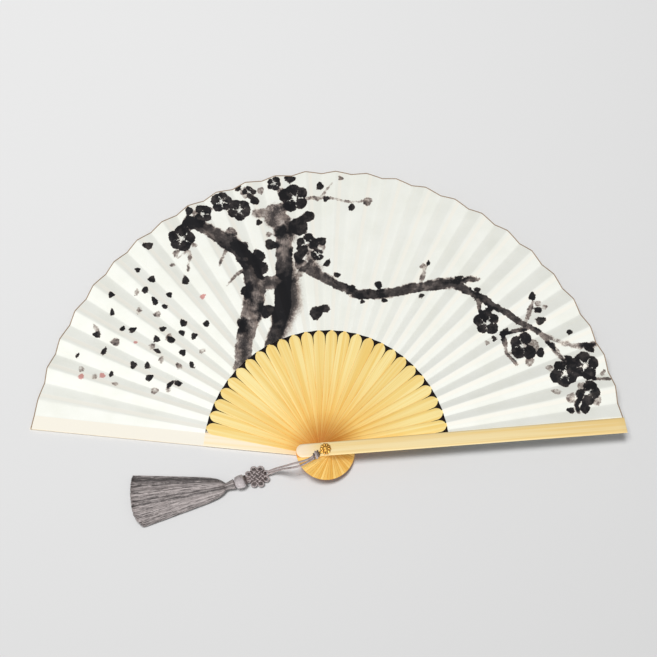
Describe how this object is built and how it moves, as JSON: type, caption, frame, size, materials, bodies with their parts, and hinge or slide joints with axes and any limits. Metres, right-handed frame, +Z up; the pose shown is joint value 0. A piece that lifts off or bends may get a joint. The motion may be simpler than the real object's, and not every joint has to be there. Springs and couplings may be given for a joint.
{
  "type": "folding hand fan",
  "caption": "Open folding hand fan: pleated ink-painted paper leaf on flat bamboo ribs between two guards, pinned at the head, with a knotted tassel pendant.",
  "frame": {"origin": "on the pin's axis, at the back guard's outer face, which lies on the surface under the open fan", "axes": "+Z up through the stack of sticks, +X towards the front guard's tip, +Y towards the middle of the open leaf"},
  "size_m": [0.6009, 0.3751, 0.0264],
  "materials": {
    "bamboo_guard": "polished bamboo",
    "bamboo_rib": "satin bamboo",
    "leaf_paper": "matte mulberry paper",
    "rim_paper": "matte paper strip",
    "dark_paper": "matte dark paper",
    "brass": "aged gilt",
    "silk_cord": "satin braided cord",
    "tassel_silk": "silk threads"
  },
  "bodies": {
    "back_stick": {"guard_back": "bamboo_guard", "leaf": "leaf_paper", "rim_binding": "rim_paper", "neck_band": "dark_paper", "pivot_pin": "brass", "rosette": "brass", "pin_stud": "brass"},
    "rib_01": {"rib_01": "bamboo_rib"},
    "rib_02": {"rib_02": "bamboo_rib"},
    "rib_03": {"rib_03": "bamboo_rib"},
    "rib_04": {"rib_04": "bamboo_rib"},
    "rib_05": {"rib_05": "bamboo_rib"},
    "rib_06": {"rib_06": "bamboo_rib"},
    "rib_07": {"rib_07": "bamboo_rib"},
    "rib_08": {"rib_08": "bamboo_rib"},
    "rib_09": {"rib_09": "bamboo_rib"},
    "rib_10": {"rib_10": "bamboo_rib"},
    "rib_11": {"rib_11": "bamboo_rib"},
    "rib_12": {"rib_12": "bamboo_rib"},
    "rib_13": {"rib_13": "bamboo_rib"},
    "rib_14": {"rib_14": "bamboo_rib"},
    "rib_15": {"rib_15": "bamboo_rib"},
    "rib_16": {"rib_16": "bamboo_rib"},
    "rib_17": {"rib_17": "bamboo_rib"},
    "rib_18": {"rib_18": "bamboo_rib"},
    "rib_19": {"rib_19": "bamboo_rib"},
    "rib_20": {"rib_20": "bamboo_rib"},
    "rib_21": {"rib_21": "bamboo_rib"},
    "rib_22": {"rib_22": "bamboo_rib"},
    "rib_23": {"rib_23": "bamboo_rib"},
    "rib_24": {"rib_24": "bamboo_rib"},
    "rib_25": {"rib_25": "bamboo_rib"},
    "rib_26": {"rib_26": "bamboo_rib"},
    "front_stick": {"guard_front": "bamboo_guard"},
    "hanger_link": {"hanger": "brass"},
    "pendant": {"cord_hitch": "silk_cord", "cord_strand_upper": "silk_cord", "cord_strand_lower": "silk_cord", "knot": "silk_cord", "bead": "silk_cord", "collar": "silk_cord", "tassel_skirt": "tassel_silk"}
  },
  "joints": [
    {"name": "fan_fold", "type": "hinge", "parent": "back_stick", "child": "front_stick", "pos_m": [0, 0, 0], "axis": [0, 0, 1], "range_deg": [0, 169.7], "deforming": ["leaf", "rim_binding", "neck_band"]},
    {"name": "rib_01_turn", "type": "hinge", "parent": "back_stick", "child": "rib_01", "pos_m": [0, 0, 0], "axis": [0, 0, 1], "range_deg": [0, 6.21]},
    {"name": "rib_02_turn", "type": "hinge", "parent": "back_stick", "child": "rib_02", "pos_m": [0, 0, 0], "axis": [0, 0, 1], "range_deg": [0, 12.51]},
    {"name": "rib_03_turn", "type": "hinge", "parent": "back_stick", "child": "rib_03", "pos_m": [0, 0, 0], "axis": [0, 0, 1], "range_deg": [0, 18.81]},
    {"name": "rib_04_turn", "type": "hinge", "parent": "back_stick", "child": "rib_04", "pos_m": [0, 0, 0], "axis": [0, 0, 1], "range_deg": [0, 25.1]},
    {"name": "rib_05_turn", "type": "hinge", "parent": "back_stick", "child": "rib_05", "pos_m": [0, 0, 0], "axis": [0, 0, 1], "range_deg": [0, 31.4]},
    {"name": "rib_06_turn", "type": "hinge", "parent": "back_stick", "child": "rib_06", "pos_m": [0, 0, 0], "axis": [0, 0, 1], "range_deg": [0, 37.69]},
    {"name": "rib_07_turn", "type": "hinge", "parent": "back_stick", "child": "rib_07", "pos_m": [0, 0, 0], "axis": [0, 0, 1], "range_deg": [0, 43.99]},
    {"name": "rib_08_turn", "type": "hinge", "parent": "back_stick", "child": "rib_08", "pos_m": [0, 0, 0], "axis": [0, 0, 1], "range_deg": [0, 50.28]},
    {"name": "rib_09_turn", "type": "hinge", "parent": "back_stick", "child": "rib_09", "pos_m": [0, 0, 0], "axis": [0, 0, 1], "range_deg": [0, 56.58]},
    {"name": "rib_10_turn", "type": "hinge", "parent": "back_stick", "child": "rib_10", "pos_m": [0, 0, 0], "axis": [0, 0, 1], "range_deg": [0, 62.88]},
    {"name": "rib_11_turn", "type": "hinge", "parent": "back_stick", "child": "rib_11", "pos_m": [0, 0, 0], "axis": [0, 0, 1], "range_deg": [0, 69.17]},
    {"name": "rib_12_turn", "type": "hinge", "parent": "back_stick", "child": "rib_12", "pos_m": [0, 0, 0], "axis": [0, 0, 1], "range_deg": [0, 75.47]},
    {"name": "rib_13_turn", "type": "hinge", "parent": "back_stick", "child": "rib_13", "pos_m": [0, 0, 0], "axis": [0, 0, 1], "range_deg": [0, 81.76]},
    {"name": "rib_14_turn", "type": "hinge", "parent": "back_stick", "child": "rib_14", "pos_m": [0, 0, 0], "axis": [0, 0, 1], "range_deg": [0, 88.06]},
    {"name": "rib_15_turn", "type": "hinge", "parent": "back_stick", "child": "rib_15", "pos_m": [0, 0, 0], "axis": [0, 0, 1], "range_deg": [0, 94.36]},
    {"name": "rib_16_turn", "type": "hinge", "parent": "back_stick", "child": "rib_16", "pos_m": [0, 0, 0], "axis": [0, 0, 1], "range_deg": [0, 100.65]},
    {"name": "rib_17_turn", "type": "hinge", "parent": "back_stick", "child": "rib_17", "pos_m": [0, 0, 0], "axis": [0, 0, 1], "range_deg": [0, 106.95]},
    {"name": "rib_18_turn", "type": "hinge", "parent": "back_stick", "child": "rib_18", "pos_m": [0, 0, 0], "axis": [0, 0, 1], "range_deg": [0, 113.24]},
    {"name": "rib_19_turn", "type": "hinge", "parent": "back_stick", "child": "rib_19", "pos_m": [0, 0, 0], "axis": [0, 0, 1], "range_deg": [0, 119.54]},
    {"name": "rib_20_turn", "type": "hinge", "parent": "back_stick", "child": "rib_20", "pos_m": [0, 0, 0], "axis": [0, 0, 1], "range_deg": [0, 125.83]},
    {"name": "rib_21_turn", "type": "hinge", "parent": "back_stick", "child": "rib_21", "pos_m": [0, 0, 0], "axis": [0, 0, 1], "range_deg": [0, 132.13]},
    {"name": "rib_22_turn", "type": "hinge", "parent": "back_stick", "child": "rib_22", "pos_m": [0, 0, 0], "axis": [0, 0, 1], "range_deg": [0, 138.43]},
    {"name": "rib_23_turn", "type": "hinge", "parent": "back_stick", "child": "rib_23", "pos_m": [0, 0, 0], "axis": [0, 0, 1], "range_deg": [0, 144.72]},
    {"name": "rib_24_turn", "type": "hinge", "parent": "back_stick", "child": "rib_24", "pos_m": [0, 0, 0], "axis": [0, 0, 1], "range_deg": [0, 151.02]},
    {"name": "rib_25_turn", "type": "hinge", "parent": "back_stick", "child": "rib_25", "pos_m": [0, 0, 0], "axis": [0, 0, 1], "range_deg": [0, 157.31]},
    {"name": "rib_26_turn", "type": "hinge", "parent": "back_stick", "child": "rib_26", "pos_m": [0, 0, 0], "axis": [0, 0, 1], "range_deg": [0, 163.61]},
    {"name": "hanger_turn", "type": "hinge", "parent": "back_stick", "child": "hanger_link", "pos_m": [0, 0, 0], "axis": [0, 0, 1], "range_deg": [0, 75]},
    {"name": "pendant_swing", "type": "hinge", "parent": "hanger_link", "child": "pendant", "pos_m": [-0.00788, -0.00531, 0], "axis": [0, 0, 1], "range_deg": [-6, 35]}
  ],
  "couplings": [
    {"joint": "rib_01_turn", "follows": "fan_fold", "ratio": 0.03544},
    {"joint": "rib_02_turn", "follows": "fan_fold", "ratio": 0.07254},
    {"joint": "rib_03_turn", "follows": "fan_fold", "ratio": 0.10964},
    {"joint": "rib_04_turn", "follows": "fan_fold", "ratio": 0.14674},
    {"joint": "rib_05_turn", "follows": "fan_fold", "ratio": 0.18384},
    {"joint": "rib_06_turn", "follows": "fan_fold", "ratio": 0.22094},
    {"joint": "rib_07_turn", "follows": "fan_fold", "ratio": 0.25804},
    {"joint": "rib_08_turn", "follows": "fan_fold", "ratio": 0.29514},
    {"joint": "rib_09_turn", "follows": "fan_fold", "ratio": 0.33224},
    {"joint": "rib_10_turn", "follows": "fan_fold", "ratio": 0.36934},
    {"joint": "rib_11_turn", "follows": "fan_fold", "ratio": 0.40644},
    {"joint": "rib_12_turn", "follows": "fan_fold", "ratio": 0.44354},
    {"joint": "rib_13_turn", "follows": "fan_fold", "ratio": 0.48064},
    {"joint": "rib_14_turn", "follows": "fan_fold", "ratio": 0.51774},
    {"joint": "rib_15_turn", "follows": "fan_fold", "ratio": 0.55484},
    {"joint": "rib_16_turn", "follows": "fan_fold", "ratio": 0.59194},
    {"joint": "rib_17_turn", "follows": "fan_fold", "ratio": 0.62904},
    {"joint": "rib_18_turn", "follows": "fan_fold", "ratio": 0.66614},
    {"joint": "rib_19_turn", "follows": "fan_fold", "ratio": 0.70324},
    {"joint": "rib_20_turn", "follows": "fan_fold", "ratio": 0.74034},
    {"joint": "rib_21_turn", "follows": "fan_fold", "ratio": 0.77744},
    {"joint": "rib_22_turn", "follows": "fan_fold", "ratio": 0.81454},
    {"joint": "rib_23_turn", "follows": "fan_fold", "ratio": 0.85164},
    {"joint": "rib_24_turn", "follows": "fan_fold", "ratio": 0.88874},
    {"joint": "rib_25_turn", "follows": "fan_fold", "ratio": 0.92584},
    {"joint": "rib_26_turn", "follows": "fan_fold", "ratio": 0.96294}
  ]
}
